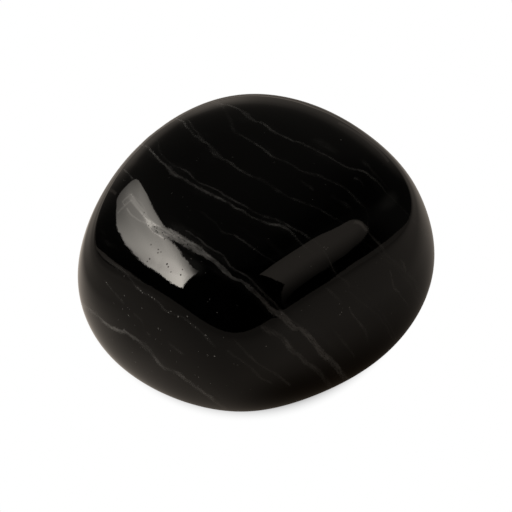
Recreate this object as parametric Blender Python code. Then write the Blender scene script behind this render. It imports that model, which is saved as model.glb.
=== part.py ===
"""Polished black onyx stone: one tumbled pebble, about 39 x 36 x 25 mm, lying on its worn base.

The frame is +Z up, in metres. The origin is under the middle of the stone, on the surface it lies on.
Seen from the front (looking along +Y), +X is to the right.
"""
import math

import bmesh
import bpy
from mathutils import Vector

MM = 0.001

# The faces that tumbling ground on the stone.
# Each is where its outward normal points, as azimuth from +X and elevation in degrees, and how far
# its plane lies from the middle of the stone, in millimetres.
GROUND_FACES = {
    "top": (190, 85, 12.5),
    "front_left": (230, 5, 17.1),
    "front_right": (305, 20, 15.3),
    "right": (15, 20, 20.9),
    "back_right": (50, 15, 19.4),
    "back": (95, 10, 20.6),
    "back_left": (135, -15, 14.2),
    "left": (200, 45, 17.0),
    "under_front_left": (255, -40, 18.8),
    "under_front_right": (300, -40, 16.9),
    "under_right": (10, -40, 16.8),
    "under_left": (160, -50, 17.2),
    "under_back": (90, -45, 16.0),
    "under": (0, -90, 12.6),
}

# How tightly the faces meet: 2 would round them away, and a large number would leave sharp edges.
EDGE_TIGHTNESS = 6

# The flat that the stone lies on, this far below its middle.
WORN_BASE_DEPTH = 12.0 * MM

# Steps along each edge of the cube that is blown up into the stone.
GRID_STEPS = 26

ONYX_COLOUR = (0.006, 0.006, 0.006, 1.0)
POLISHED_ROUGHNESS = 0.05
ONYX_IOR = 1.54
SHARP_ANGLE = math.radians(30)


def clear_scene():
    for item in list(bpy.data.objects):
        bpy.data.objects.remove(item, do_unlink=True)


def face_normal(azimuth, elevation):
    flat = math.cos(elevation)
    return Vector((flat * math.cos(azimuth), flat * math.sin(azimuth), math.sin(elevation)))


def ground_planes():
    """Each face's normal divided by its distance, so that normal.dot(point) is 1 on the plane."""
    planes = []
    for azimuth, elevation, distance in GROUND_FACES.values():
        normal = face_normal(math.radians(azimuth), math.radians(elevation))
        planes.append(normal / (distance * MM))
    return planes


def distance_to_surface(direction, planes):
    """How far the rounded stone reaches along a unit direction from its middle."""
    crossings = (max(0.0, plane.dot(direction)) for plane in planes)
    total = sum(crossing ** EDGE_TIGHTNESS for crossing in crossings)
    return total ** (-1.0 / EDGE_TIGHTNESS)


def evenly_spread(point):
    """The direction of a point on the cube from -1 to 1, turned so that the grid steps stay even."""
    spread = Vector(math.tan(part * math.pi / 4) for part in point)
    return spread.normalized()


def blow_up(bm):
    planes = ground_planes()
    for vert in bm.verts:
        direction = evenly_spread(vert.co)
        vert.co = direction * distance_to_surface(direction, planes)


def wear_base(bm):
    for vert in bm.verts:
        vert.co.z = max(vert.co.z, -WORN_BASE_DEPTH)


def stand_on_origin(bm):
    """Move the stone so that its box is centred on the origin and its worn base is at z = 0."""
    xs = [vert.co.x for vert in bm.verts]
    ys = [vert.co.y for vert in bm.verts]
    middle = Vector(((min(xs) + max(xs)) / 2, (min(ys) + max(ys)) / 2, -WORN_BASE_DEPTH))
    bmesh.ops.translate(bm, vec=-middle, verts=bm.verts)


def onyx_material():
    material = bpy.data.materials.new("polished_onyx")
    material.use_nodes = True
    shader = material.node_tree.nodes["Principled BSDF"]
    shader.inputs["Base Color"].default_value = ONYX_COLOUR
    shader.inputs["Roughness"].default_value = POLISHED_ROUGHNESS
    shader.inputs["Metallic"].default_value = 0.0
    shader.inputs["IOR"].default_value = ONYX_IOR
    return material


def make_stone():
    bm = bmesh.new()
    bmesh.ops.create_cube(bm, size=2.0)
    bmesh.ops.subdivide_edges(bm, edges=bm.edges[:], cuts=GRID_STEPS - 1, use_grid_fill=True)
    blow_up(bm)
    wear_base(bm)
    stand_on_origin(bm)
    bmesh.ops.recalc_face_normals(bm, faces=bm.faces[:])
    mesh = bpy.data.meshes.new("onyx_stone")
    bm.to_mesh(mesh)
    bm.free()
    mesh.shade_smooth()
    mesh.set_sharp_from_angle(angle=SHARP_ANGLE)
    mesh.materials.append(onyx_material())
    stone = bpy.data.objects.new("onyx_stone", mesh)
    bpy.context.scene.collection.objects.link(stone)


def main():
    clear_scene()
    make_stone()


main()
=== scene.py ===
"""The looks of a polished black onyx stone: its smooth skin, its grey veins and the studio round it.

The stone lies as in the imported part: +Z up, in metres, with the origin under the middle of the stone.
MM turns millimetres into metres. Inside the materials a place is in millimetres from the stone's core.
"""
import math
import random
from collections import namedtuple

import bpy
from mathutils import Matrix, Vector
from mathutils.interpolate import poly_3d_calc


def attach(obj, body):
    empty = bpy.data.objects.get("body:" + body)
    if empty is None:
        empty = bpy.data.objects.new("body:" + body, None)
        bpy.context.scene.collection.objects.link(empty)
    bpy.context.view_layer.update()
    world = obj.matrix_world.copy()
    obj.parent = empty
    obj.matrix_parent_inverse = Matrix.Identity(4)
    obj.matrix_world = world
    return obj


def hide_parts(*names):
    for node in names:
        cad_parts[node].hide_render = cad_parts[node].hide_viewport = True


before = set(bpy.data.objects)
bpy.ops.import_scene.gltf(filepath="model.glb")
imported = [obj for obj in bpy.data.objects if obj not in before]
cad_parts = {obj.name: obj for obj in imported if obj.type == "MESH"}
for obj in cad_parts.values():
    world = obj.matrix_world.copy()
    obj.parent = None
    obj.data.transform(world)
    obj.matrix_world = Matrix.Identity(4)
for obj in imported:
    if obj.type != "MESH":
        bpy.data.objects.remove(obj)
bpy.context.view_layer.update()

MM = 0.001
RIGHT = Vector((1, 0, 0))
BACK = Vector((0, 1, 0))
UP = Vector((0, 0, 1))

# The camera of the photo, which is square.
PHOTO_SIDE = 512
LENS = 100.0
SENSOR = 36.0
CLIP_START = 10 * MM
CAMERA_RISE = math.radians(45)
CAMERA_DISTANCE = 158 * MM
CAMERA_AIM = Vector((0.01, 0.26, 12.44)) * MM

# What a pixel of the photo spans at the stone, in millimetres.
PIXEL_SPAN = 0.111

# The point inside the stone that its skin is blown up from.
CORE = Vector((-0.055, -0.18, 12.0)) * MM

# The CAD stone's loose triangles are joined where their corners are this close, and are then rounded.
JOIN_GAP = 0.01 * MM
GUIDE_LEVELS = 3

# The skin is a cube cut into squares in two goes, blown up, drawn onto the CAD stone and smoothed.
BLOWN_RADIUS = 17 * MM
FIRST_CUTS = 16
SECOND_CUTS = 8
SMOOTHINGS = 6
SMOOTHING_FACTOR = 0.5

# The layout of the cube's sides, which fills a square of 1 by 1.
CELLS_ACROSS = 3
CELLS_UP = 2
CELL_GAP = 0.004

# All veins lie on parallel sheets through the stone, whose normal points to this azimuth and elevation.
SHEET_AZIMUTH = math.radians(47.5)
SHEET_ELEVATION = math.radians(27.5)

# Curves in materials run from 0 to 1. The top of that range stands for this depth in millimetres, this
# width in pixels and this strength.
DEPTH_RANGE = 40.0
WIDTH_RANGE = 12.0
STRENGTH_RANGE = 1.5

ONYX_BLACK = Vector((0.0009, 0.0009, 0.0009))
VEIN_GREY = Vector((0.15, 0.15, 0.15))
ONYX_IOR = 1.54
POLISHED = 0.03

# The broad vein lies this deep below the polish, and its slope ends this many half widths from its middle.
GROOVE_DEPTH = 0.02 * MM
GROOVE_END = 1.5

# On the hidden side, in parts of a full turn: how long a vein takes to fade out, and to begin to stray.
HIDDEN_FADE = 0.2
STRAY_START = 0.08

# The noises in the stone: waves per millimetre, detail, and what they run from and to.
NOISES = {
    "wobble": (2.2, 3.0, -0.07, 0.07),
    "fray": (5.0, 2.0, 0.2, 2.0),
    "strands": (5.0, 3.0, -0.6, 2.4),
    "patches": (0.9, 2.0, 0.6, 1.4),
    "stray": (0.12, 3.0, -2.0, 2.0),
    "mist": (0.9, 3.0, 0.0, 1.0),
    "crumbs": (6.0, 3.0, 0.0, 1.0),
    "wisps": (0.15, 2.0, 0.0, 1.0),
    "dashes": (0.35, 2.0, 0.0, 1.0),
    "swirl": (5.0, 3.0, -0.5, 0.5),
}
# How much of the strands' own pace they keep along the sheets, where they are drawn out.
STRAND_PACE = 0.2

# Where a vein ends and where it is full, in half widths from its middle.
LINE_FADE = (1.6, 0.3)
BROAD_FADE = (1.3, 0.7)
HAZE_FADE = (7, 0.5)

# What the broad vein's crumbs change: how ragged, how dense and how rough it is. It shows from the first of
# two strengths on, and fully from the second.
BROAD_RAGGEDNESS = (0.4, 1.6)
BROAD_DENSITY = (0.7, 1.3)
BROAD_ROUGHNESS = (0.1, 0.3)
BROAD_STRENGTHS = (0.1, 0.5)

# Between which values of a noise the fainter marks come in, and how strong they are.
HAZE_BANDS = (0.4, 0.7)
HAZE_STRENGTH = 0.11
WISP_BANDS = (0.6, 0.8)
WISP_PATCHES = (0.45, 0.7)
WISP_STRENGTH = 0.08
DASH_PATCHES = (0.4, 0.6)
DASH_STRENGTH = 0.6
DUST_STRENGTH = 0.5

# Grains scattered through the stone: how far apart they are, what their radius runs from and to, the least
# that it may be, all in millimetres, and the part of it that is full. The least grains can't be seen.
DUST = (1.2, -0.1, 0.1, 0.001, 0.4)
DASHES = (0.35, -0.09, 0.07, 0.0005, 0.3)

# The pocks in the broad vein, which are sunk and darkened with painted shade like the pits, and the heights
# and depths in the polish, in millimetres.
POCK_SPACING = 0.4
POCK_FADE = (0.08, 0.03)
SWIRL_HEIGHT = 0.0007
RUBBED_SWIRL_HEIGHT = 0.0012
CRUMB_HEIGHT = 0.002
PIT_DEPTH = 0.06

# Where each vein runs: points that were read off the photo. Each is x, y and width in its pixels,
# and how strongly the vein shows. A vein that fades to nothing at both ends is short; any other one runs
# on round the hidden side of the stone.
VEINS = {
    "far_right": [
        (222, 104, 2, 0.4), (227, 104.5, 2, 0.5), (234, 107, 2, 0.65), (240, 109.5, 2.2, 0.28),
        (245, 113, 4, 0.22), (249, 117.5, 4, 0.22), (254, 120.5, 2.5, 0.16), (261, 122, 2.2, 0.32),
        (266, 125.5, 2.6, 0.35), (272, 130.5, 2.6, 0.35), (279, 134, 2.2, 0.22), (287, 137.5, 2, 0.26),
        (293, 140.5, 2, 0.32), (299, 141.5, 1.8, 0.27), (305, 144.5, 2, 0.3), (312, 148, 2, 0.13),
        (320, 152, 2.2, 0.3), (327, 155.5, 2, 0.2), (335, 160.5, 2, 0.2), (343, 165, 2.2, 0.17),
        (352, 168.5, 2.4, 0.22), (360, 169.8, 2.4, 0.34), (366, 172.5, 2.6, 0.42), (372, 177.4, 2.4, 0.32),
        (378, 182.5, 2.4, 0.26), (383, 188.5, 2.2, 0.25), (386, 193, 2, 0.1),
    ],
    "hazy_right": [
        (222, 106, 2, 0.12), (226, 112, 3, 0.04), (230, 120, 3.5, 0.05), (232, 127, 3.5, 0.07),
        (237, 133, 3, 0.08), (243, 136.2, 2.2, 0.13), (250, 140.2, 2.2, 0.13), (257, 144.6, 2.2, 0.17),
        (263, 148.5, 2.4, 0.22), (268, 152.5, 2.4, 0.3), (272, 156, 2, 0.2), (279, 159, 2, 0.1),
        (286, 161.6, 2.2, 0.11), (292, 165, 2.2, 0.09), (299, 169.5, 2, 0.12), (306, 172, 3, 0.09),
        (312, 173.5, 4, 0.07), (318, 175, 4, 0.07), (323, 177.5, 2.6, 0.08), (330, 180.5, 2.4, 0.07),
        (337, 183.6, 2.4, 0.16), (345, 188, 2.2, 0.09), (351, 193.5, 2.2, 0.18), (358, 201, 2.4, 0.17),
        (364, 207, 2.2, 0.11), (367, 213, 2, 0.1), (367.5, 229, 2, 0.22), (373.5, 238.4, 2.2, 0.32),
        (381, 246, 3, 0.38), (385, 253, 3, 0.15),
    ],
    "knotted": [
        (183, 121, 2, 0.55), (186.4, 126.6, 2.2, 0.35), (190.4, 130.6, 2, 0.14), (194, 135, 2.6, 0.18),
        (198.5, 136.5, 4, 0.2), (203, 141, 3, 0.24), (207.5, 143.5, 2.6, 0.14), (211, 148, 5, 0.11),
        (215, 153, 6, 0.17), (220.5, 157.5, 3.5, 0.14), (226, 160, 2.6, 0.15), (231, 163, 2.8, 0.25),
        (237, 168, 2.2, 0.22), (244, 172, 2.2, 0.25), (251, 175.5, 2.6, 0.1), (258, 178, 3.6, 0.06),
        (264, 181, 3.6, 0.05), (270, 185, 3, 0.04), (277, 190, 3.4, 0.09), (283, 193.5, 2.4, 0.05),
        (289, 197, 1.8, 0.05), (294, 198.5, 3, 0.14), (302, 202, 2.4, 0.08), (309, 204.5, 2.2, 0.08),
        (317, 207.4, 2.2, 0.08), (325, 212.4, 2, 0.1), (333, 217.2, 2, 0.08), (339, 220, 2, 0.06),
    ],
    "main": [
        (148, 147, 2, 0.45), (152, 152, 2, 0.7), (156.5, 156.6, 2, 0.45), (160, 160.5, 1.8, 0.4),
        (165.5, 164.8, 2.2, 0.4), (169.3, 169, 4, 0.36), (173.6, 173.8, 4, 0.38), (178, 176.2, 3.2, 0.28),
        (183, 178.2, 2.8, 0.22), (188, 181.5, 2.8, 0.25), (194, 185, 2.8, 0.3), (199.5, 188.2, 3, 0.42),
        (206.5, 191.8, 3, 0.45), (213.3, 195, 2.6, 0.32), (220.4, 198.5, 2.4, 0.48),
        (228.8, 202.8, 2.4, 0.16), (234.4, 207.4, 2.2, 0.38), (241.4, 209.9, 2.4, 0.27),
        (248, 214.5, 2.6, 0.16), (255, 218, 2.2, 0.25),
        (262, 221, 2.4, 0.24), (270, 223.5, 2.8, 0.34), (277, 224.5, 3, 0.55), (283, 226.5, 2.8, 0.5),
        (288.4, 229.6, 2.2, 0.32), (293.6, 234.6, 2, 0.3), (298, 240.5, 2, 0.27), (303, 245, 2, 0.22),
        (310, 251, 2, 0.04),
    ],
    "main_twin": [
        (158, 141, 1.6, 0.06), (158, 146, 2, 0.06), (161, 154, 2, 0.06), (167, 160, 1.6, 0.05),
        (174, 165.5, 2, 0.06), (180.4, 167.6, 2, 0.1), (186.4, 171, 2, 0.22), (190.4, 174.4, 2, 0.2),
        (195.4, 180, 1.8, 0.09), (201, 183.2, 1.8, 0.18), (207.3, 185.5, 1.8, 0.15), (213.3, 188, 2, 0.22),
        (219, 191, 2, 0.18), (224.4, 195, 2, 0.32), (231.4, 199, 2.2, 0.34), (238.4, 202.5, 2.2, 0.26),
        (245.4, 206, 2, 0.17), (251, 210, 2, 0.09), (258, 213.5, 2, 0.06), (265, 216, 3.5, 0.12),
        (272, 218, 2, 0.06), (277, 219.5, 3, 0.11), (283, 222.5, 2.4, 0.18), (290, 226.5, 2.2, 0.27),
        (297, 229.8, 2.2, 0.24), (304, 234, 2.4, 0.38), (311, 239, 2, 0.14), (317, 243, 1.8, 0.12),
        (324.6, 252.3, 1.8, 0.25), (328.6, 259.3, 1.8, 0.33), (331.6, 266.3, 1.8, 0.4),
        (334.8, 272, 1.8, 0.2), (338, 276, 2, 0.12), (343.6, 279.4, 2.4, 0.14), (348, 284, 2, 0.2),
        (348.4, 291, 1.6, 0.12),
    ],
    "faint_middle": [
        (199, 210, 1.6, 0), (205, 214.4, 1.8, 0.06), (210, 218.3, 1.8, 0.05), (215, 222, 1.6, 0.04),
        (219, 228, 2, 0.03), (222, 231.3, 2.4, 0.09), (228, 233.4, 2, 0.06), (234, 234.5, 1.8, 0.16),
        (239, 238, 1.8, 0.2), (245.3, 242.2, 1.8, 0.26), (251.3, 246.7, 2.2, 0.12), (255, 249, 2.2, 0.11),
        (260, 253, 1.6, 0.1), (265, 256, 1.6, 0.09), (271, 259.5, 1.6, 0.13), (277, 263, 1.6, 0),
    ],
    "broad": [
        (141, 217, 3, 0), (147, 221.5, 4, 0.12), (153.6, 228, 6, 0.4), (164.7, 231.6, 9, 0.95),
        (175.6, 236.4, 8, 1.05), (185.6, 242.4, 7, 1.1), (195.9, 248.2, 6.8, 0.85), (205.6, 255, 4.4, 0.85),
        (213.7, 260.4, 3.8, 0.6), (224, 270, 4.4, 0.52), (232.3, 277.4, 2.8, 0.45), (242.3, 281.5, 3, 0.42),
        (251.8, 289.3, 4, 1.15), (261.9, 299.1, 3.4, 1.1), (271.6, 310.3, 5.2, 0.9), (281.7, 315.4, 5.8, 1.2),
        (291.4, 326, 4.8, 1.15), (303, 330.4, 5, 0.9), (312, 339.9, 4.8, 1.2), (321.4, 352.4, 5.6, 1.1),
        (332.1, 361.8, 5.2, 0.72), (340.2, 372, 5, 0.65), (344.4, 377.6, 5, 0.5),
    ],
    "broad_twin": [
        (184, 229, 1.6, 0), (188, 231.5, 1.6, 0.22), (194, 235.5, 1.6, 0.12), (200, 239.5, 2, 0.22),
        (206, 245, 2, 0.22), (213, 249.5, 2, 0.15), (219, 252.5, 2, 0.17), (224, 257, 2, 0.17),
        (229, 264.5, 2.2, 0.19), (234, 269, 2.2, 0.23), (241, 272.5, 2, 0.2), (248, 276.5, 2.2, 0.3),
        (253, 282, 2.4, 0.35), (258.4, 287.6, 2, 0.5), (264.6, 294, 2, 0.7), (270.6, 299.4, 2, 0.8),
        (276.6, 305.4, 2, 0.65), (281, 311, 2, 0.3),
    ],
    "front_right": [
        (260, 325, 2, 0), (265, 328.5, 4.4, 0.7), (272, 332, 5, 0.5), (280, 336, 4.4, 0.42),
        (285, 341, 4.4, 1.0), (289, 347, 4.8, 0.9), (293, 351.6, 4.2, 0.5), (298.4, 354.4, 3.6, 0.6),
        (304, 361, 4.2, 0.68), (310, 365, 4.2, 0.5), (317, 370, 4.2, 0.45), (322, 376, 4.2, 0.32),
        (327, 382, 4.6, 0.35), (330, 387, 4, 0.35),
    ],
    "front_left": [
        (97, 315, 3, 0.4), (100, 318.3, 3, 0.7), (108, 325, 2.2, 1.15), (117.3, 329.6, 2.4, 1.2),
        (121, 331, 2.3, 1.1), (125.6, 331.7, 2.7, 0.95), (129.6, 334.8, 2.6, 0.68), (135, 338.2, 2.6, 0.68),
        (139.6, 341.8, 3, 0.52), (144.6, 345.4, 4.6, 0.38), (149, 350, 4.2, 0.4), (152.5, 354.4, 3.6, 0.57),
        (156, 359.5, 3.4, 0.55), (159.6, 363.5, 3.4, 0.58), (164, 367.8, 3.4, 0.45), (170, 369.3, 3, 0.32),
        (175, 371.6, 2.8, 0.72), (179.8, 374.4, 3.2, 0.85), (184.5, 378.5, 2.8, 0.65),
        (189.7, 382.4, 3, 0.6), (196, 387, 2.6, 0.8), (202.8, 391.3, 3, 1.05), (210, 397, 3.2, 1.0),
        (216, 402, 2.8, 0.8), (222, 406, 2.8, 0.7),
    ],
    "shoulder_left": [
        (100, 254, 3, 0), (110, 261.6, 3.4, 0.12), (118, 267.5, 3, 0.18), (126.4, 273.6, 2, 0.14),
        (131, 280, 2.4, 0.1), (134.7, 284.8, 2.2, 0.2), (139, 289, 2.2, 0.3), (142.7, 292.3, 1.8, 0.2),
        (148, 294.5, 2, 0.12), (153, 298, 2, 0.2), (157, 301, 1.8, 0.15), (160.3, 304.6, 2.4, 0.16),
        (165, 310, 2.2, 0.16), (168.6, 311.8, 2.4, 0.13), (173.6, 313.4, 1.8, 0.08), (184, 318, 1.8, 0.08),
        (190, 323, 2, 0.14), (195.6, 327.4, 2.4, 0.12), (200.6, 331.4, 2, 0.08), (206, 337, 2.2, 0.15),
        (211.6, 343.4, 2.2, 0.13), (217, 348, 2, 0),
    ],
    "left_thread": [
        (104, 280, 1.6, 0), (106, 282.5, 1.8, 0.24), (111, 289, 1.6, 0.2), (116, 294.5, 1.8, 0.2),
        (121, 300, 2, 0.2), (124, 303, 1.6, 0),
    ],
    "right_thread": [
        (389, 269, 1.8, 0), (390, 272, 2, 0.35), (391, 276, 2, 0.4), (392.5, 283, 2.4, 0.4),
        (394, 288, 2.6, 0.45), (398, 291.5, 2, 0.35), (401, 296, 1.8, 0.3), (405, 301, 1.8, 0.25),
        (409, 307, 1.8, 0),
    ],
    "speck_tail": [
        (348, 305, 1.6, 0), (350, 310, 1.8, 0.5), (353, 315, 1.8, 0.5), (357, 320, 2, 0.55),
        (361, 325, 2.4, 0.5), (365, 331, 3, 0.3), (367, 340, 3, 0.1), (368, 344, 3, 0),
    ],
    "front_thread": [
        (232, 337, 1.6, 0), (236, 342, 1.8, 0.19), (243, 349, 2, 0.34), (247, 353.5, 2, 0.45),
        (251, 357, 2.4, 0.56), (256, 362, 2, 0.34), (262, 366, 2, 0.3), (267, 369, 2, 0.26),
        (275, 373, 2.2, 0.3), (281, 378, 2.4, 0.34), (286, 382, 2.6, 0.34), (291, 386, 2, 0),
    ],
    "front_faint": [
        (226, 349, 1.8, 0), (230, 352.5, 2, 0.4), (236, 357, 1.8, 0.3), (243, 361.5, 2, 0.25),
        (250, 367, 2.4, 0.3), (256, 373, 2.6, 0.3), (260, 377, 2.4, 0.35), (268, 381, 2, 0.3),
        (272, 384, 1.8, 0),
    ],
    "right_faint": [
        (324, 286, 2, 0), (329, 290.5, 2.4, 0.3), (334, 295, 2.6, 0.3), (339, 300, 2.4, 0.15),
        (342, 304, 2, 0),
    ],
    "right_low": [
        (331, 326, 2.4, 0), (336, 333, 2.6, 0.12), (342, 340, 3, 0.16), (347, 346, 2.6, 0.18),
        (352, 353, 2.2, 0.2), (355, 358, 2, 0),
    ],
    "right_dash": [
        (399, 255, 2, 0), (401, 260, 2.4, 0.3), (403, 264, 2.8, 0.45), (405, 269, 2.6, 0.4),
        (406, 272, 2, 0),
    ],
    "knotted_twin": [
        (187, 119, 1.6, 0.12), (189, 121, 1.8, 0.18), (193, 128, 1.8, 0.09), (197, 132, 2, 0.12),
        (200, 136, 2, 0),
    ],
    "rim_thread": [
        (122, 168, 1.6, 0), (125, 170.5, 1.8, 0.32), (128, 173.5, 1.6, 0.32), (131, 177, 1.6, 0.24),
        (133, 180, 1.6, 0),
    ],
    "top_smear": [
        (359, 158, 3, 0), (364, 162.5, 5, 0.1), (368, 165.5, 4, 0.12), (372, 171, 3, 0.1),
        (378, 177, 3, 0.08), (385, 185, 3, 0.06), (389, 190, 3, 0),
    ],
    "right_smear": [
        (310, 137, 6, 0), (318, 141, 7, 0.05), (326, 146, 8, 0.06), (334, 150, 6, 0.05), (340, 154, 5, 0),
    ],
    "small_dashes": [
        (298, 178, 2, 0), (302, 181.5, 2.2, 0.04), (307, 185, 2.6, 0.06), (311.5, 187.5, 3, 0.1),
        (314, 191, 2, 0), (329, 194.5, 3, 0), (332, 195.5, 4, 0.03), (338, 200, 3, 0.03), (342, 202, 4, 0.07),
        (346, 204.5, 5, 0.08), (350, 208, 3.4, 0.04), (354, 215, 3, 0),
    ],
    "bright_dash": [
        (353, 176.5, 2, 0), (355, 177.7, 2.6, 0.2), (359, 179.5, 2.2, 0.08), (362, 183.5, 2, 0.06),
        (364, 187, 1.8, 0),
    ],
    "fine_left": [
        (132, 312, 1.6, 0), (136, 315.5, 1.6, 0.1), (141, 320, 1.8, 0.1), (145, 331, 1.6, 0),
        (148, 333.5, 2, 0.18), (151, 336, 1.6, 0), (166, 340, 1.6, 0), (170, 344, 2, 0.12),
        (175, 348, 2, 0.14), (181, 352.5, 2, 0.12), (185, 355, 1.6, 0),
    ],
}

# The crystal specks: x, y and width in pixels of the photo, and strength.
SPECKS = [
    (171.5, 192.6, 1.7, 0.5), (182.3, 196.5, 1.4, 0.2), (187, 206, 1.2, 0.15), (190, 210, 1.4, 0.06),
    (158.5, 145.5, 1.9, 0.12), (161.5, 154, 1.4, 0.15), (168.5, 177, 1.6, 0.12), (273.5, 162, 3.1, 0.1),
    (317.5, 174.5, 1.6, 0.25), (340.5, 139.5, 1.7, 0.5), (336, 218, 1.6, 0.25), (325, 184, 2.3, 0.12),
    (268, 238.3, 1.7, 0.28), (253.5, 248.6, 2, 0.22), (201, 261, 1.6, 0.12), (205, 272.5, 1.9, 0.12),
    (323.5, 247, 1.6, 1.5), (325.5, 248.7, 1.6, 1.5), (327.5, 247, 1.6, 1.5), (310.5, 266, 1.6, 1),
    (299, 256, 1.7, 0.8), (309, 305, 1.6, 0.7), (301, 310, 1.6, 0.7), (339, 303.5, 1.7, 1.3),
    (349, 307, 1.7, 1.3), (339.5, 314, 2, 1.9), (341.2, 311.8, 1.7, 1.9), (342, 308, 1.9, 0.4),
    (381, 258, 1.9, 0.4), (376, 262, 2, 0.3), (391, 313, 2.3, 0.3), (209.2, 299, 1.9, 0.36),
    (207.3, 301.2, 1.7, 0.2), (216.5, 312, 2, 0.56), (236.5, 305, 1.9, 0.2), (223, 337, 1.6, 0.9),
    (265.7, 345.8, 1.9, 2), (281, 314, 1.9, 1.4), (287.5, 321.5, 1.6, 0.8), (233.5, 363.5, 1.7, 0.9),
    (237, 364.5, 1.9, 0.9), (243, 362, 1.4, 0.7), (250, 389, 1.6, 0.6), (241, 392, 1.6, 0.4),
    (106, 282, 1.7, 0.7), (123.5, 276, 1.7, 0.5), (124, 295, 1.7, 0.8), (128, 314.6, 1.9, 2.4),
    (122.3, 308.3, 1.7, 0.9), (127, 307, 1.4, 0.5), (129, 308.6, 1.4, 0.5), (141.3, 307.6, 2.2, 0.7),
    (117.5, 319.5, 1.7, 0.5), (134.3, 324.6, 2, 0.4), (158, 327.8, 2, 1.8), (160.2, 329.6, 1.7, 0.9),
    (137.5, 287.3, 1.9, 0.6), (140, 290.3, 2, 1.7), (141.8, 292.2, 1.7, 1.2), (148, 294.3, 1.9, 0.7),
    (151.6, 297, 2, 1.9), (153.8, 298.5, 1.9, 1.9), (168, 312, 1.9, 1.2), (170.4, 310.8, 1.7, 1.2),
    (177.7, 316, 2, 2), (186.8, 316, 1.9, 1.9), (190, 323, 1.9, 0.85), (195, 326.8, 2.2, 0.98),
    (205, 334.6, 2, 1.42), (207, 338.3, 1.7, 0.68), (214, 355.6, 2.2, 2.2), (207, 354.5, 1.7, 1.2),
    (198, 377, 1.7, 1.4), (194.5, 374.5, 2, 0.5), (198, 350.8, 1.6, 0.7), (197.5, 366.5, 1.6, 0.4),
    (180, 352.3, 1.7, 0.35), (170, 350.4, 1.9, 0.5), (155, 339, 2, 0.6), (161, 343.5, 1.6, 0.4),
    (176, 361.5, 1.6, 0.5), (210, 383, 1.6, 0.7), (226, 385, 1.6, 0.4), (151, 370.6, 1.7, 0.5),
    (112, 339, 1.7, 0.5), (132, 352, 1.6, 0.4), (140, 347, 1.6, 0.3),
]

# How many times brighter a speck is than a vein of the same strength.
SPECK_GLINT = 1.45

# The pits in the polish: x, y and width in pixels of the photo. The bump sinks them, and inside them the vein
# colour is taken out as painted shade.
PITS = [
    (149.2, 258.4, 1.8), (166.6, 263.6, 2.1), (167.8, 266.3, 1.7), (180.3, 274.3, 1.7), (182, 269, 1.2),
    (150.6, 244.2, 1.4), (157.8, 249, 1.5), (157.5, 252.3, 1.4), (160.5, 251.5, 1.2), (146.8, 261, 1.4),
    (170.5, 271.5, 1.2), (153.8, 226.4, 1.5), (155.6, 230.4, 1.7), (156.5, 227.5, 1.2), (164.3, 238.3, 1.5),
    (168.3, 237, 1.8), (178.5, 236.5, 1.8), (187, 243.5, 1.8), (183.6, 240.6, 1.4), (143.8, 212, 1.2),
    (190.5, 258, 1.4),
]

# The part of a speck's or a pit's radius that is full.
SPOT_CORE = 0.3

# Where the polish is rubbed and a little wavy: a pixel of the photo, and how far from it in millimetres the
# rubbing ends and is full.
RUBBED_SPOT = (152, 270)
RUBBED_FADE = (6, 3)

# What the polish mirrors: outlines and lines in pixels of the photo. The widths of lines are in pixels too.
SOFTBOX_OUTLINE = [
    (135.4, 178.6), (132.1, 180), (126.4, 185), (119.3, 192.9), (116.4, 198.6), (116.2, 205),
    (115.8, 213.6), (116.1, 222.1), (117.6, 229.3), (120.7, 235.7), (124.3, 242.1), (128.6, 247.9),
    (133.6, 253.6), (139.3, 259.6), (146.4, 265), (153.6, 270), (161.8, 275.4), (168.3, 280.3),
    (174.8, 284.3), (182.1, 288.1), (183.5, 284.3), (187.9, 279.3), (192.9, 275), (198.6, 270.7),
    (193.5, 267.8), (191, 265.2), (185.3, 259.7), (180.7, 253.6), (176.4, 247.1), (172.1, 240.7),
    (167.5, 232), (161.6, 222.4), (157.6, 216.4), (153.5, 209.3), (150.2, 202.1), (146.4, 193.6),
    (142.1, 186.4), (138.6, 180.7),
]
# The corners of that outline at the softbox's far end, near end, left side and right tip.
SOFTBOX_MARKS = (1, 20, 10, 23)
# The sides of it that are frayed, and their teeth, in pixels.
FRAYED_SIDES = range(7, 29)
TOOTH_SPACING = 1.3
TOOTH_DEPTH = 0.75
FRAY_SEED = 4

STRIP_OUTLINE = [
    (259, 274), (270, 266), (281, 258.5), (293, 250.5), (300, 246.3), (310, 239.7), (320, 234.3),
    (330, 230), (340, 225), (345, 222), (350, 219.6), (355, 219), (360, 220.5), (364, 223.5),
    (367, 227), (367.5, 231), (364.5, 236), (360, 241.5), (354, 246.5), (350, 250), (345, 254.5),
    (336, 260), (332, 263), (329, 266.5), (320, 271.5), (310, 278.5), (300, 285.5), (293, 291),
    (287, 298), (283, 304), (281, 300), (281, 292), (284, 284), (276, 280), (268, 276.5),
]
GHOST_OUTLINE = [
    (368, 203), (372, 193), (381, 187), (391, 187), (399, 194), (403, 205), (399, 214), (389, 219),
    (377, 217), (370, 211),
]
GHOST_GLOW = 0.045
HAZE_OUTLINE = [
    (219, 262), (211, 281), (192, 289), (173, 281), (165, 262), (173, 243), (192, 235), (211, 243),
]
HAZE_GLOW = 0.08
LEFT_BOARD_OUTLINE = [
    (94, 243), (104, 252.5), (112, 259.5), (121, 266), (130, 272.3), (138, 278.6), (144, 283.2),
    (142, 285.5), (135, 282), (126, 276.5), (116, 271), (104, 263), (94, 253),
]
LEFT_BOARD_GLOW = 0.19
RIGHT_BOARD_OUTLINE = [
    (327, 282), (351, 264), (366, 254.5), (380, 244.5), (396, 231.5), (408, 219.5), (409, 228),
    (400, 240), (385, 252), (356, 272), (330, 288),
]
RIGHT_BOARD_GLOW = 0.14
GAP_LINE = [
    (93, 246), (97.5, 252.8), (103, 259), (110, 264), (117, 269), (124, 273.6), (131, 278.2),
    (138, 282.6),
]
GAP_WIDTH = 2.4
GAP_GLOW = 0.035
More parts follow.
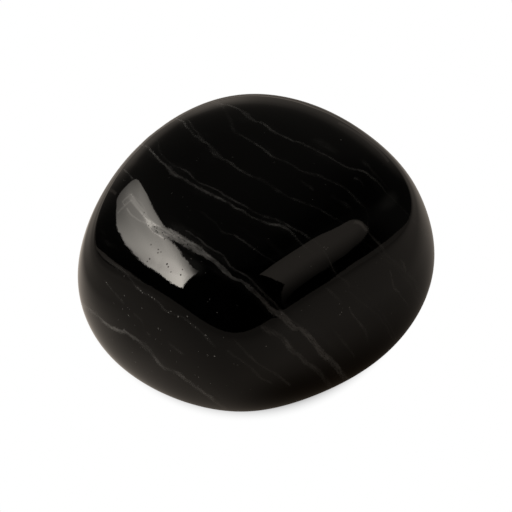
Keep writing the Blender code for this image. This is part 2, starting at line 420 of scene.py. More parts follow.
NOTCH_LINE = [(107, 189.5), (111, 190), (115.5, 193.5)]
NOTCH_WIDTH = 3
NOTCH_GLOW = 0.2
RIM_LINE = [
    (338, 122.5), (347, 127), (353, 130.5), (359, 134.4), (368, 141), (377, 148.7), (383, 155),
    (388, 161.4),
]
RIM_WIDTH = 2.2
RIM_GLOW = 0.06
TIP_LINE = [(353.5, 221.5), (357.5, 222), (361, 224), (364, 227), (366.5, 230.5)]
TIP_WIDTH = 2.6
TIP_GLOW = 0.2

# The seams of the softbox: points, width and strength.
SEAMS = [
    ([(130.7, 193.6), (121.9, 201.4), (124.3, 204.8)], 1.3, 0.6),
    ([(131.4, 199.5), (124.3, 205), (117.1, 212.9)], 1.3, 0.6),
    ([(130.7, 193.6), (134.2, 199), (138.6, 204.5), (143, 209.5), (147, 215.5)], 1.4, 0.5),
    ([(132, 195), (137, 199), (141.4, 203.5), (144, 208), (146.5, 213)], 1.2, 0.4),
    ([(126.4, 207.9), (130.7, 214.3), (138.6, 220), (147.9, 223.5), (154.3, 228.6)], 1.4, 0.8),
    ([(140, 211), (143.9, 216.2), (148, 221), (153.6, 226)], 1.3, 0.8),
]
# The softer streaks along its middle, in the same way.
STREAKS = [
    ([(128, 191), (146, 212.5), (164, 236)], 9, 1.3),
    ([(142, 216.5), (154, 227.5), (167, 238)], 7, 2.6),
]

# In parts of a streak's length: where its glow is full, and where it begins to fade again.
STREAK_START = 0.4
STREAK_END = 0.7

# The part of a round glow's radius that is full.
GHOST_CORE = 0.2

# How far the cards are from the core. Those in front of one another are a step apart.
CARD_DISTANCE = 350 * MM
BOARD_DISTANCE = 400 * MM
CARD_STEP = 5 * MM

WHITE = (1, 1, 1, 1)
LAMP_TINT = (1, 0.94, 0.85, 1)
TABLE_TINT = (1, 0.88, 0.76, 1)
WARM_TINT = (1, 0.5, 0.1, 1)

# The softbox's light. One curve runs along it, from the far end to the near one. Two run across it, from the
# left to the right, and blend into one another on the way to the near end, where they also lean over.
SOFTBOX_POWER = 10
ALONG_SCALE = 0.9
SOFTBOX_ALONG = [
    (0, 0.12), (0.11, 0.2), (0.28, 0.275), (0.36, 0.34), (0.45, 0.46), (0.61, 0.7), (0.7, 0.8),
    (0.78, 0.9), (0.88, 0.9), (1, 0.6),
]
ACROSS_RANGE = 1.5
ACROSS_SCALE = 1.4
ACROSS_START = 0.43
ACROSS_FAR_END = [
    (0, 0.12), (0.1, 0.22), (0.16, 0.34), (0.24, 0.43), (0.32, 0.56), (0.4, 0.77), (0.49, 0.93),
    (0.57, 1.15), (0.65, 1.38), (0.72, 1.1), (0.8, 0.6), (1, 0.1),
]
ACROSS_NEAR_END = [
    (0, 0.2), (0.08, 0.33), (0.16, 0.52), (0.23, 0.6), (0.32, 0.75), (0.4, 0.89), (0.5, 1),
    (0.57, 1.04), (0.65, 0.88), (0.72, 0.6), (0.79, 0.45), (0.87, 0.25), (1, 0.1),
]
NEAR_END_BLEND = (0.3, 0.65)
LEAN_START = 0.76
LEAN = 0.9
TIP_REACH = 0.2
TIP_DIMMING = 0.75

# The strip's light, by the sine of the elevation that it is seen at from the core.
STRIP_LIGHT = [
    (0, 0), (0.15, 0.02), (0.26, 0.07), (0.34, 0.12), (0.42, 0.175), (0.5, 0.23), (0.6, 0.29),
    (0.7, 0.31), (0.8, 0.31), (1, 0.2),
]

# The light of the dim room: a low glow behind the stone and a faint one above it. Each is a curve by the sine
# of the elevation, times a curve by the part of a turn, from the left past the front, right and back.
ROOM_RADIUS = 700 * MM
LOW_GLOW = [
    (0, 0.47), (0.19, 0.45), (0.26, 0.35), (0.32, 0.25), (0.37, 0.12), (0.44, 0.045), (0.52, 0.012),
    (0.6, 0), (1, 0),
]
LOW_GLOW_ROUND = [
    (0, 0), (0.6, 0), (0.64, 0.065), (0.67, 0.16), (0.7, 0.25), (0.725, 0.29), (0.745, 0.4),
    (0.765, 0.85), (0.775, 1), (0.79, 0.85), (0.81, 0.62), (0.84, 0.75), (0.86, 0.42), (0.875, 0.2),
    (0.89, 0.08), (0.91, 0.02), (0.95, 0), (1, 0),
]
HIGH_GLOW = [
    (0, 0.045), (0.3, 0.05), (0.55, 0.057), (0.65, 0.045), (0.75, 0.027), (0.9, 0.02), (1, 0.01),
]
HIGH_GLOW_ROUND = [
    (0, 0), (0.42, 0), (0.5, 0.65), (0.54, 0.4), (0.64, 0.4), (0.72, 0.65), (0.78, 0.9), (0.88, 0.9),
    (0.92, 0.5), (1, 0),
]

# The table's light, with brighter pools, the stone's own shadows and a warm pool on it. Each of these is x, y
# and reach in millimetres from the core, and strength.
TABLE_HALF = 600 * MM
TABLE_DROP = 0.02 * MM
TABLE_GLOW = 0.11
TABLE_POOLS = [
    (-36, 9, 25, 0.7), (-30, -4, 12, 0.15), (-30, 24, 16, 0.3), (-18, -2, 16, 0.4), (-62, 55, 85, 0.5),
    (-130, 30, 90, 0.1), (-160, 210, 220, 0.72), (15, 270, 150, 0.35), (48, 30, 60, 0.24),
    (170, 80, 260, 0.17), (0, -80, 120, 0.05),
]
TABLE_SHADOWS = [(15, -11, 31, 0.88), (40, -13, 32, 0.38), (8, -18, 14, 0.6)]
WARM_POOL = (15, -25, 50, 0.014)

# The pale floor, and how it darkens where the stone is near.
FLOOR_HALF = 3000 * MM
CONTACT_REACH = 1.6 * MM
CONTACT_SAMPLES = 16
CONTACT_GAIN = 1.2
CONTACT_DARKEST = 0.85

# The soft shadow in front of the stone: the middle and the reach of its rounded edge in millimetres, with
# distances squashed along Y, how fast it darkens, and between which distances from the stone it fades.
SHADOW_MIDDLE = Vector((-1.1, 18.13, 0))
SHADOW_REACH = 26.12
SHADOW_SQUASH = Vector((1, 0.6, 1))
SHADOW_GAIN = 0.4
SHADOW_DARKEST = 0.6
SHADOW_FADE = (21, 14)


def deselect_all():
    bpy.ops.object.select_all(action="DESELECT")


def make_active(item):
    deselect_all()
    item.select_set(True)
    bpy.context.view_layer.objects.active = item


def apply_all_modifiers(item):
    make_active(item)
    for modifier in list(item.modifiers):
        bpy.ops.object.modifier_apply(modifier=modifier.name)


def towards(azimuth, elevation):
    """The unit direction with this azimuth from +X and elevation, both in radians."""
    flat = math.cos(elevation)
    return Vector((flat * math.cos(azimuth), flat * math.sin(azimuth), math.sin(elevation)))


CAMERA_FORWARD = towards(math.pi / 2, -CAMERA_RISE)
CAMERA_UP = towards(math.pi / 2, math.pi / 2 - CAMERA_RISE)
SHEET_NORMAL = towards(SHEET_AZIMUTH, SHEET_ELEVATION)
SHEET_LEVEL = Vector((math.sin(SHEET_AZIMUTH), -math.cos(SHEET_AZIMUTH), 0))
SHEET_DOWN = SHEET_NORMAL.cross(SHEET_LEVEL)


class Wire:
    """A socket in a material, wrapped so that shader maths can be written as Python expressions."""

    def __init__(self, recipe, socket):
        self.recipe = recipe
        self.socket = socket

    def __add__(self, other):
        return self.recipe.math("ADD", self, other)

    __radd__ = __add__

    def __sub__(self, other):
        return self.recipe.math("SUBTRACT", self, other)

    def __rsub__(self, other):
        return self.recipe.math("SUBTRACT", other, self)

    def __mul__(self, other):
        return self.recipe.math("MULTIPLY", self, other)

    __rmul__ = __mul__

    def __truediv__(self, other):
        return self.recipe.math("DIVIDE", self, other)

    def __abs__(self):
        return self.recipe.math("ABSOLUTE", self)


class Recipe:
    """One material and the nodes in it."""

    def __init__(self, name):
        self.material = bpy.data.materials.new(name)
        self.material.use_nodes = True
        self.tree = self.material.node_tree
        self.tree.nodes.clear()

    def node(self, kind, settings=None, sockets=None, output=0):
        """Adds any node: first its settings, then the values or links of its sockets."""
        made = self.tree.nodes.new(kind)
        for name, value in (settings or {}).items():
            if name == "points":
                bend_curve(made.mapping, value)
            else:
                setattr(made, name, value)
        for name, value in (sockets or {}).items():
            if isinstance(value, Wire):
                self.tree.links.new(value.socket, made.inputs[name])
            else:
                made.inputs[name].default_value = value
        return Wire(self, made.outputs[output])

    def math(self, operation, *values):
        return self.node("ShaderNodeMath", {"operation": operation}, dict(enumerate(values)))

    def vector(self, operation, *values, output=0):
        return self.node("ShaderNodeVectorMath", {"operation": operation}, dict(enumerate(values)), output)

    def scaled(self, vector, factor):
        return self.node("ShaderNodeVectorMath", {"operation": "SCALE"}, {0: vector, "Scale": factor})

    def dot(self, first, second):
        return self.vector("DOT_PRODUCT", first, second, output="Value")

    def gap(self, first, second):
        return self.vector("DISTANCE", first, second, output="Value")

    def ease(self, value, start, end):
        """0 up to start, 1 from end on, and a smooth rise between them; end may be below start."""
        sockets = {"Value": value, "From Min": start, "From Max": end}
        return self.node("ShaderNodeMapRange", {"interpolation_type": "SMOOTHSTEP"}, sockets)

    def curve(self, points, value):
        return self.node("ShaderNodeFloatCurve", {"points": points}, {"Value": value})

    def stretch(self, value, low, high):
        """A value from 0 to 1, stretched to run from low to high."""
        return value * (high - low) + low

    def noise(self, place, name):
        scale, detail, low, high = NOISES[name]
        sockets = {"Vector": place, "Scale": scale, "Detail": detail}
        return self.stretch(self.node("ShaderNodeTexNoise", None, sockets, "Fac"), low, high)

    def dots(self, place, spacing, output):
        """Points scattered through the stone, about this far apart in millimetres."""
        return self.node("ShaderNodeTexVoronoi", None, {"Vector": place, "Scale": 1 / spacing}, output)

    def grains(self, place, spacing, smallest, largest, least, core):
        """1 within grains round scattered points, whose radii are random between smallest and largest."""
        away = self.dots(place, spacing, "Distance") * spacing
        radius = self.stretch(self.dots(place, spacing, "Color"), smallest, largest)
        radius = self.math("MAXIMUM", radius, least)
        return self.ease(away, radius, radius * core)

    def object_place(self):
        """The place on the piece, in metres."""
        return self.node("ShaderNodeTexCoord", output="Object")

    def place_from(self, origin):
        """The place on the piece, in millimetres from the origin."""
        return self.scaled(self.vector("SUBTRACT", self.object_place(), origin), 1 / MM)

    def way_from_core(self):
        """The direction of the place on the piece from the core."""
        return self.vector("NORMALIZE", self.place_from(CORE))

    def glow(self, tint, strength):
        return self.node("ShaderNodeEmission", None, {"Color": tint, "Strength": strength})

    def glow_over(self, tint, strength):
        """A glow that what lies behind it shines through."""
        clear = self.node("ShaderNodeBsdfTransparent")
        return self.both(clear, self.glow(tint, strength))

    def both(self, first, second):
        return self.node("ShaderNodeAddShader", None, {0: first, 1: second})

    def finish(self, surface):
        """Makes surface the look of the material."""
        end = self.tree.nodes.new("ShaderNodeOutputMaterial")
        self.tree.links.new(surface.socket, end.inputs["Surface"])
        return self.material


def bend_curve(mapping, points):
    """Leads a curve through points, level beyond the first and the last."""
    mapping.extend = "HORIZONTAL"
    curve = mapping.curves[0]
    curve.points[0].location = points[0]
    curve.points[1].location = points[-1]
    for place, value in points[1:-1]:
        curve.points.new(place, value)
    for point in curve.points:
        point.handle_type = "AUTO_CLAMPED"
    mapping.update()


def place_camera():
    data = bpy.data.cameras.new("camera")
    data.lens = LENS
    data.sensor_width = SENSOR
    data.clip_start = CLIP_START
    camera = bpy.data.objects.new("camera", data)
    bpy.context.scene.collection.objects.link(camera)
    camera.location = CAMERA_AIM - CAMERA_FORWARD * CAMERA_DISTANCE
    camera.rotation_euler = (math.pi / 2 - CAMERA_RISE, 0, 0)
    bpy.context.scene.camera = camera


def sight_line(pixel):
    """The unit direction from the camera through the middle of a pixel of the photo."""
    focal = PHOTO_SIDE * LENS / SENSOR
    half = PHOTO_SIDE / 2
    across = RIGHT * (pixel[0] + 0.5 - half)
    return (CAMERA_FORWARD * focal + across + CAMERA_UP * (half - pixel[1] - 0.5)).normalized()


def smooth_copy(node):
    """The CAD stone with its loose triangles joined, made quads again and rounded between them.

    Rounding shrinks the stone a little, so its points are first moved out by as much as they will sink.
    """
    guide = bpy.data.objects.new("guide", node.data.copy())
    bpy.context.scene.collection.objects.link(guide)
    make_active(guide)
    bpy.ops.object.mode_set(mode="EDIT")
    bpy.ops.mesh.select_all(action="SELECT")
    bpy.ops.mesh.remove_doubles(threshold=JOIN_GAP)
    bpy.ops.mesh.tris_convert_to_quads(face_threshold=math.pi, shape_threshold=math.pi)
    bpy.ops.object.mode_set(mode="OBJECT")
    net = guide.data.copy()
    round_off(guide)
    for before, after in zip(net.vertices, guide.data.vertices):
        before.co += before.co - after.co
    guide.data = net
    round_off(guide)
    return guide


def round_off(guide):
    rounding = guide.modifiers.new("rounding", "SUBSURF")
    rounding.levels = GUIDE_LEVELS
    rounding.render_levels = GUIDE_LEVELS
    apply_all_modifiers(guide)


def lay_out_cube(mesh):
    """Gives each side of the cube its own cell, with a gap round it."""
    layout = mesh.uv_layers.new(name="OFBake")
    for side in mesh.polygons:
        row, column = divmod(side.index, CELLS_ACROSS)
        left, right = column / CELLS_ACROSS + CELL_GAP, (column + 1) / CELLS_ACROSS - CELL_GAP
        bottom, top = row / CELLS_UP + CELL_GAP, (row + 1) / CELLS_UP - CELL_GAP
        corners = [(left, bottom), (right, bottom), (right, top), (left, top)]
        for loop, corner in zip(side.loop_indices, corners):
            layout.data[loop].uv = corner


def blow_up_cube():
    """A ball round the core, cut into an even net of squares."""
    deselect_all()
    bpy.ops.mesh.primitive_cube_add(size=2 * BLOWN_RADIUS, location=CORE, calc_uvs=False)
    ball = bpy.context.object
    lay_out_cube(ball.data)
    bpy.ops.object.mode_set(mode="EDIT")
    bpy.ops.mesh.subdivide(number_cuts=FIRST_CUTS - 1)
    bpy.ops.mesh.subdivide(number_cuts=SECOND_CUTS - 1)
    bpy.ops.transform.tosphere(value=1)
    bpy.ops.object.mode_set(mode="OBJECT")
    bpy.ops.object.transform_apply(location=True, rotation=True, scale=True)
    return ball


def make_stone(node):
    guide = smooth_copy(node)
    stone = blow_up_cube()
    stone.name = "polished_stone"
    stone.data.name = "polished_stone"
    drawn = stone.modifiers.new("drawn onto the CAD stone", "SHRINKWRAP")
    drawn.target = guide
    drawn.wrap_method = "PROJECT"
    drawn.use_positive_direction = True
    drawn.use_negative_direction = True
    polish = stone.modifiers.new("polish", "SMOOTH")
    polish.factor = SMOOTHING_FACTOR
    polish.iterations = SMOOTHINGS
    apply_all_modifiers(stone)
    bpy.ops.object.shade_smooth()
    bpy.data.objects.remove(guide)
    return stone


def touch(stone, pixel):
    """Where the line of sight through a pixel meets the stone, and the smooth normal there."""
    start = bpy.context.scene.camera.location
    hit, place, _, face = stone.ray_cast(start, sight_line(pixel))
    if not hit:
        raise ValueError(f"pixel {pixel} misses the stone")
    polygon = stone.data.polygons[face]
    corners = [stone.data.vertices[index] for index in polygon.vertices]
    shares = poly_3d_calc([corner.co for corner in corners], place)
    normal = Vector()
    for share, corner in zip(shares, corners):
        normal += share * corner.normal
    return place, normal.normalized()


def seen_in_stone(stone, pixel):
    """The point on the stone at a pixel, and the direction that it reflects towards the camera."""
    place, normal = touch(stone, pixel)
    return place, sight_line(pixel).reflect(normal)


def turn_and_depth(place):
    """How far round the sheets' axis a place on the stone is, from 0 to 1, and its depth in millimetres."""
    spot = (place - CORE) / MM
    turn = math.atan2(spot.dot(SHEET_LEVEL), -spot.dot(SHEET_DOWN)) / math.tau + 0.5
    return turn, spot.dot(SHEET_NORMAL)


Stop = namedtuple("Stop", "turn depth width strength")


class Route:
    """The visible stretch of a vein: stops, each a turn round the sheets' axis and what the vein is there."""

    def __init__(self, stone, points):
        stops = []
        for x, y, width, strength in points:
            turn, depth = turn_and_depth(touch(stone, (x, y))[0])
            stops.append(Stop(turn, depth, width, strength))
        self.stops = sorted(stops)
        self.first, self.last = self.stops[0], self.stops[-1]
        self.start = self.first.turn
        self.span = self.last.turn - self.start

    def curve(self, what, top, middle=0.0):
        """The points of a curve of the depth, width or strength, which is squeezed into 0 to 1."""
        points = []
        for stop in self.stops:
            points.append(((stop.turn - self.start) / self.span, getattr(stop, what) / top + middle))
        return points

    def at(self, turn):
        """Depth, width and strength at a turn, or None outside the visible stretch."""
        for before, after in zip(self.stops, self.stops[1:]):
            if before.turn <= turn < after.turn:
                share = (turn - before.turn) / (after.turn - before.turn)
                return [start + share * (end - start) for start, end in zip(before[1:], after[1:])]
        return None


def wear_groove(stone, route):
    """Sinks the broad vein, which is softer than the onyx, a little below the polish."""
    for vertex in stone.data.vertices:
        turn, depth = turn_and_depth(vertex.co)
        found = route.at(turn)
        if found:
            middle, width, strength = found
            half = width * PIXEL_SPAN / 2
            share = min(1.0, max(0.0, GROOVE_END - abs(depth - middle) / half))
            sink = GROOVE_DEPTH * min(1.0, strength) * share * share * (3 - 2 * share)
            vertex.co -= (vertex.co - CORE).normalized() * sink


def hide_from(item, camera=False, glossy=False, diffuse=False, shadow=False):
    """Hides a piece from these kinds of rays, and always from those that pass through things."""
    item.visible_camera = not camera
    item.visible_glossy = not glossy
    item.visible_diffuse = not diffuse
    item.visible_transmission = False
    item.visible_volume_scatter = False
    item.visible_shadow = not shadow


def card(stone, name, outline, distance, glow, *values):
    """A card that the stone mirrors inside this outline, in pixels of the photo, and its glow."""
    rays = [seen_in_stone(stone, pixel) for pixel in outline]
    middle = sum((way for _, way in rays), Vector()).normalized()
    centre = CORE + middle * distance
    corners = [place + way * ((centre - place).dot(middle) / way.dot(middle)) for place, way in rays]
    mesh = bpy.data.meshes.new(name)
    mesh.from_pydata(corners, [], [range(len(corners))])
    recipe = Recipe(name)
    mesh.materials.append(recipe.finish(glow(recipe, corners, *values)))
    made = bpy.data.objects.new(name, mesh)
    bpy.context.scene.collection.objects.link(made)
    hide_from(made, camera=True, shadow=True)


def frayed(outline):
    """An outline with fine teeth along the sides that the rubbed polish breaks up."""
    chance = random.Random(FRAY_SEED)
    made = []
    for index, (start, end) in enumerate(zip(outline, outline[1:] + outline[:1])):
        made.append(start)
        teeth = 0
        if index in FRAYED_SIDES:
            teeth = int(math.dist(start, end) / TOOTH_SPACING)
        for tooth in range(1, teeth):
            share = tooth / teeth
            out = chance.uniform(-TOOTH_DEPTH, TOOTH_DEPTH)
            x = start[0] + share * (end[0] - start[0]) + out
            y = start[1] + share * (end[1] - start[1]) - out
            made.append((x, y))
    return made


def ribbon(line, width):
    """The outline of a band of this width along a line, all in pixels of the photo."""
    sides = [], []
    for index, point in enumerate(line):
        before = line[max(index - 1, 0)]
        after = line[min(index + 1, len(line) - 1)]
        along = Vector((after[0] - before[0], after[1] - before[1])).normalized()
        for side, offset in zip(sides, (width / 2, -width / 2)):
            side.append((point[0] - along.y * offset, point[1] + along.x * offset))
    return sides[0] + sides[1][::-1]


def softbox_glow(recipe, corners, marks):
    """Brightest near its near end and along its middle, dimmer towards its sides and its right tip."""
    far_end, near_end, left_side, tip = (corners[mark] for mark in marks)
    place = recipe.object_place()
    along = near_end - far_end
    across = (left_side - near_end).cross(along).cross(along).normalized() * along.length
    from_end = recipe.vector("SUBTRACT", place, far_end)
    reach = recipe.dot(from_end, along / along.length_squared)
    side = recipe.dot(from_end, across / across.length_squared) * ACROSS_SCALE + ACROSS_START
    side = side + recipe.math("MAXIMUM", reach - LEAN_START, 0) * LEAN
    far, near = [
        recipe.curve([(x, y / ACROSS_RANGE) for x, y in points], side) * ACROSS_RANGE
        for points in (ACROSS_FAR_END, ACROSS_NEAR_END)
    ]
    spread = far + (near - far) * recipe.ease(reach, *NEAR_END_BLEND)
    dim = recipe.ease(recipe.gap(place, tip), TIP_REACH * along.length, 0) * TIP_DIMMING
    power = recipe.curve(SOFTBOX_ALONG, reach * ALONG_SCALE) * spread * (1 - dim)
    return recipe.glow(LAMP_TINT, power * SOFTBOX_POWER)


def seam_glow(recipe, corners, tint, strength):
    """An even glow that what lies behind it shines through."""
    return recipe.glow_over(tint, strength)


def streak_glow(recipe, corners, strength):
    """A glow that is brightest along the middle of a ribbon and fades towards its sides and ends."""
    place = recipe.object_place()
    half = len(corners) // 2
    start, end = corners[0].lerp(corners[-1], 0.5), corners[half - 1].lerp(corners[half], 0.5)
    way = end - start
    reach = recipe.dot(recipe.vector("SUBTRACT", place, start), way / way.length_squared)
    nearest = recipe.vector("ADD", recipe.scaled(way, reach), start)
    narrow = recipe.ease(recipe.gap(place, nearest), (corners[0] - corners[-1]).length / 2, 0)
    ends = recipe.ease(reach, 0, STREAK_START) * recipe.ease(reach, 1, STREAK_END)
    return recipe.glow_over(LAMP_TINT, narrow * ends * strength)


def ghost_glow(recipe, corners, strength):
    """A faint round glow that fades towards its edge."""
    middle = sum(corners, Vector()) / len(corners)
    reach = min((corner - middle).length for corner in corners)
    glow = recipe.ease(recipe.gap(recipe.object_place(), middle), reach, GHOST_CORE * reach)
    return recipe.glow_over(LAMP_TINT, glow * strength)


def board_glow(recipe, corners, strength):
    """An even glow that hides what lies behind it."""
    return recipe.glow(TABLE_TINT, strength)


def strip_glow(recipe, corners):
    """A glow that grows with the elevation."""
    return recipe.glow(TABLE_TINT, recipe.curve(STRIP_LIGHT, recipe.dot(recipe.way_from_core(), UP)))


def spot_in_stone(stone, pixel):
    """The place on the stone at a pixel, in millimetres from the core."""
    return (touch(stone, pixel)[0] - CORE) / MM


def spots(recipe, stone, place, listed):
    """A sum of small round marks at pixels of the photo."""
    total = 0
    for x, y, width, strength in listed:
        half = width * PIXEL_SPAN / 2
        away = recipe.gap(place, spot_in_stone(stone, (x, y)))
        mark = recipe.ease(away, half, SPOT_CORE * half)
        total = mark * strength + total
    return total


class Bedding:
    """The coordinates and the noises that all veins of a material share."""

    def __init__(self, recipe):
        self.recipe = recipe
        self.place = recipe.place_from(CORE)
        self.depth = recipe.dot(self.place, SHEET_NORMAL) + recipe.noise(self.place, "wobble")
        level = recipe.dot(self.place, SHEET_LEVEL)
        down = recipe.dot(self.place, SHEET_DOWN)
        self.turn = recipe.math("ARCTAN2", level, down * -1) * (1 / math.tau) + 0.5
        axes = {0: self.depth, 1: level * STRAND_PACE, 2: down * STRAND_PACE}
        self.beside = recipe.node("ShaderNodeCombineXYZ", None, axes)
        self.fray = recipe.noise(self.place, "fray")
        self.strands = recipe.noise(self.beside, "strands") * recipe.noise(self.place, "patches")
        self.stray = recipe.noise(self.place, "stray")
        self.mist = recipe.noise(self.beside, "mist")
        self.crumbs = recipe.noise(self.place, "crumbs")

    def vein(self, route):
        """How far along the stone's skin is from a vein, in half widths, and the vein's strength."""
        recipe = self.recipe
        along = recipe.math("FRACT", self.turn - route.start)
        part = along * (1 / route.span)
        middle = (recipe.curve(route.curve("depth", DEPTH_RANGE, 0.5), part) - 0.5) * DEPTH_RANGE
        half = recipe.curve(route.curve("width", WIDTH_RANGE), part) * (WIDTH_RANGE * PIXEL_SPAN / 2)
        strength = recipe.curve(route.curve("strength", STRENGTH_RANGE), part) * STRENGTH_RANGE
        first, last = route.first, route.last
        if first.strength or last.strength:
            home = recipe.ease(along, route.span, 1)
            middle = middle + home * (first.depth - last.depth)
            start = route.span if last.strength else 1 - HIDDEN_FADE
            end = 1 if first.strength else route.span + HIDDEN_FADE
            strength = strength + recipe.ease(along, start, end) * (first.strength - last.strength)
            hidden = recipe.ease(along, route.span, route.span + STRAY_START)
            hidden = hidden * recipe.ease(along, 1, 1 - STRAY_START)
            middle = middle + hidden * self.stray
        return abs(self.depth - middle) / half, strength

    def broad(self, away, strength):
        """Where the broad vein is, from 0 to 1."""
        ragged = away * self.recipe.stretch(self.crumbs, *BROAD_RAGGEDNESS)
        return self.recipe.ease(ragged, *BROAD_FADE) * self.recipe.ease(strength, *BROAD_STRENGTHS)

    def dust_between(self):
        """The faint wisps, dust and dashes between the veins."""
        recipe, place = self.recipe, self.place
        wisps = recipe.ease(self.mist, *WISP_BANDS)
        wisps = wisps * recipe.ease(recipe.noise(place, "wisps"), *WISP_PATCHES) * WISP_STRENGTH
        dashes = recipe.grains(self.beside, *DASHES)
        dashes = dashes * recipe.ease(recipe.noise(place, "dashes"), *DASH_PATCHES) * DASH_STRENGTH
        return wisps + dashes + recipe.grains(place, *DUST) * DUST_STRENGTH


def onyx(stone, routes):
    recipe = Recipe("onyx")
    bed = Bedding(recipe)
    place = bed.place
    mineral = 0
    haze = 0
    for name, route in routes.items():
        away, strength = bed.vein(route)
        if name == "broad":
            broad = bed.broad(away, strength)
            mineral = broad * strength * recipe.stretch(bed.crumbs, *BROAD_DENSITY) + mineral
        else:
            mineral = recipe.ease(away * bed.fray, *LINE_FADE) * strength + mineral
        haze = recipe.ease(away, *HAZE_FADE) * strength + haze
    haze = haze * recipe.ease(bed.mist, *HAZE_BANDS) * HAZE_STRENGTH
    specks = spots(recipe, stone, place, SPECKS) * SPECK_GLINT
    # Pits and pocks are dents in the bump; inside them the vein colour is taken out, as painted shade.
    pock_dents_and_shade = recipe.ease(recipe.dots(place, POCK_SPACING, "Distance") * POCK_SPACING, *POCK_FADE)
    pit_dents_and_shade = spots(recipe, stone, place, [(*pit, 1) for pit in PITS]) + pock_dents_and_shade * broad
    outside_painted_pit_shade = recipe.math("MAXIMUM", 1 - pit_dents_and_shade, 0)
    amount = (mineral * bed.strands + haze + bed.dust_between() + specks) * outside_painted_pit_shade
    colour = recipe.vector("ADD", recipe.scaled(VEIN_GREY, amount), ONYX_BLACK)
    rubbed = recipe.ease(recipe.gap(place, spot_in_stone(stone, RUBBED_SPOT)), *RUBBED_FADE)
    swirl = recipe.noise(place, "swirl") * (rubbed * RUBBED_SWIRL_HEIGHT + SWIRL_HEIGHT)
    rubble = (bed.crumbs - 0.5) * broad * CRUMB_HEIGHT
    relief = (swirl + rubble - pit_dents_and_shade * PIT_DEPTH) * MM
    bump = recipe.node("ShaderNodeBump", None, {"Strength": 1.0, "Distance": 1.0, "Height": relief}, "Normal")
    shader = recipe.node("ShaderNodeBsdfPrincipled", None, {
        "Base Color": colour,
        "Roughness": broad * recipe.stretch(bed.crumbs, *BROAD_ROUGHNESS) + POLISHED,
        "IOR": ONYX_IOR,
        "Normal": bump,
    })
    return recipe.finish(shader)


def plane(name, half, height):
    deselect_all()
    bpy.ops.mesh.primitive_plane_add(size=2 * half, location=(0, 0, height))
    made = bpy.context.object
    made.name = name
    bpy.ops.object.transform_apply(location=True, rotation=True, scale=True)
    return made


def paint_glow(made, recipe, surface):
    """Gives a wide piece of the studio its glow, which no rays are aimed at."""
    made.data.materials.append(recipe.finish(surface))
    recipe.material.cycles.emission_sampling = "NONE"


def table():
    """The lit table that only the stone sees."""
    made = plane("lit_table", TABLE_HALF, -TABLE_DROP)
    recipe = Recipe("table")
    place = recipe.place_from(Vector((CORE.x, CORE.y, 0)))

    def pool(x, y, reach, strength):
        return recipe.ease(recipe.gap(place, Vector((x, y, 0))), reach, 0) * strength

    power = TABLE_GLOW
    for spot in TABLE_POOLS:
        power = pool(*spot) + power
    for spot in TABLE_SHADOWS:
        power = power * (1 - pool(*spot))
    warmth = recipe.glow(WARM_TINT, pool(*WARM_POOL))
    paint_glow(made, recipe, recipe.both(recipe.glow(TABLE_TINT, power), warmth))
    hide_from(made, camera=True)


def floor():
    """The pale floor that only the camera sees."""
    made = plane("pale_floor", FLOOR_HALF, 0)
    recipe = Recipe("pale_floor")
    settings = {"samples": CONTACT_SAMPLES}
    near = recipe.node("ShaderNodeAmbientOcclusion", settings, {"Distance": CONTACT_REACH}, "AO")
    contact = recipe.math("MINIMUM", (1 - near) * (1 - near) * CONTACT_GAIN, CONTACT_DARKEST)
    place = recipe.place_from(Vector())
    away = recipe.gap(recipe.vector("MULTIPLY", place, SHADOW_SQUASH), SHADOW_MIDDLE)
    inside = recipe.math("MAXIMUM", SHADOW_REACH - away, 0)
    below = recipe.ease(recipe.gap(place, Vector()), *SHADOW_FADE)
    cast = recipe.math("MINIMUM", inside * inside * SHADOW_GAIN, SHADOW_DARKEST) * below
    paint_glow(made, recipe, recipe.glow(WHITE, 1 - recipe.math("MAXIMUM", contact, cast)))
    hide_from(made, glossy=True, diffuse=True, shadow=True)


def surroundings():
    world = bpy.data.worlds.new("white")
    bpy.context.scene.world = world
    world.use_nodes = True
    world.node_tree.nodes["Background"].inputs["Color"].default_value = WHITE
    world.cycles_visibility.glossy = False
    world.cycles_visibility.diffuse = False
    bpy.context.scene.view_settings.view_transform = "Standard"


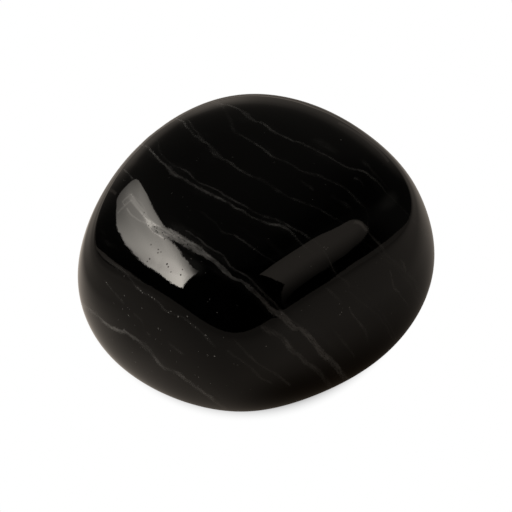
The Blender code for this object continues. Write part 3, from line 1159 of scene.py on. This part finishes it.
def room():
    """The dim room that only the stone sees."""
    deselect_all()
    bpy.ops.mesh.primitive_uv_sphere_add(segments=64, ring_count=32, radius=ROOM_RADIUS)
    made = bpy.context.object
    made.name = "room"
    recipe = Recipe("room")
    way = recipe.way_from_core()
    right, back, rise = [recipe.dot(way, axis) for axis in (RIGHT, BACK, UP)]
    turn = recipe.math("ARCTAN2", back, right) * (1 / math.tau) + 0.5
    low = recipe.glow(TABLE_TINT, recipe.curve(LOW_GLOW, rise) * recipe.curve(LOW_GLOW_ROUND, turn))
    high = recipe.glow(LAMP_TINT, recipe.curve(HIGH_GLOW, rise) * recipe.curve(HIGH_GLOW_ROUND, turn))
    paint_glow(made, recipe, recipe.both(low, high))
    hide_from(made, camera=True, shadow=True)


def cards(stone):
    outline = frayed(SOFTBOX_OUTLINE)
    marks = [outline.index(SOFTBOX_OUTLINE[number]) for number in SOFTBOX_MARKS]
    front = CARD_DISTANCE - CARD_STEP
    card(stone, "softbox", outline, CARD_DISTANCE, softbox_glow, marks)
    card(stone, "strip", STRIP_OUTLINE, CARD_DISTANCE, strip_glow)
    card(stone, "ghost", GHOST_OUTLINE, CARD_DISTANCE, ghost_glow, GHOST_GLOW)
    card(stone, "haze", HAZE_OUTLINE, CARD_DISTANCE + CARD_STEP, ghost_glow, HAZE_GLOW)
    card(stone, "left_board", LEFT_BOARD_OUTLINE, BOARD_DISTANCE, board_glow, LEFT_BOARD_GLOW)
    card(stone, "right_board", RIGHT_BOARD_OUTLINE, BOARD_DISTANCE, board_glow, RIGHT_BOARD_GLOW)
    card(stone, "gap", ribbon(GAP_LINE, GAP_WIDTH), BOARD_DISTANCE - CARD_STEP, board_glow, GAP_GLOW)
    card(stone, "strip_tip", ribbon(TIP_LINE, TIP_WIDTH), front, seam_glow, TABLE_TINT, TIP_GLOW)
    card(stone, "notch", ribbon(NOTCH_LINE, NOTCH_WIDTH), BOARD_DISTANCE, board_glow, NOTCH_GLOW)
    card(stone, "rim", ribbon(RIM_LINE, RIM_WIDTH), BOARD_DISTANCE, seam_glow, TABLE_TINT, RIM_GLOW)
    for line, width, strength in SEAMS:
        card(stone, "seam", ribbon(line, width), front, seam_glow, LAMP_TINT, strength)
    for line, width, strength in STREAKS:
        card(stone, "streak", ribbon(line, width), front - CARD_STEP, streak_glow, strength)


def main():
    place_camera()
    stone = make_stone(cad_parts["onyx_stone"])
    routes = {name: Route(stone, points) for name, points in VEINS.items()}
    cards(stone)
    material = onyx(stone, routes)
    wear_groove(stone, routes["broad"])
    stone.data.materials.clear()
    stone.data.materials.append(material)
    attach(stone, "root")
    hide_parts("onyx_stone")
    room()
    table()
    floor()
    surroundings()


main()
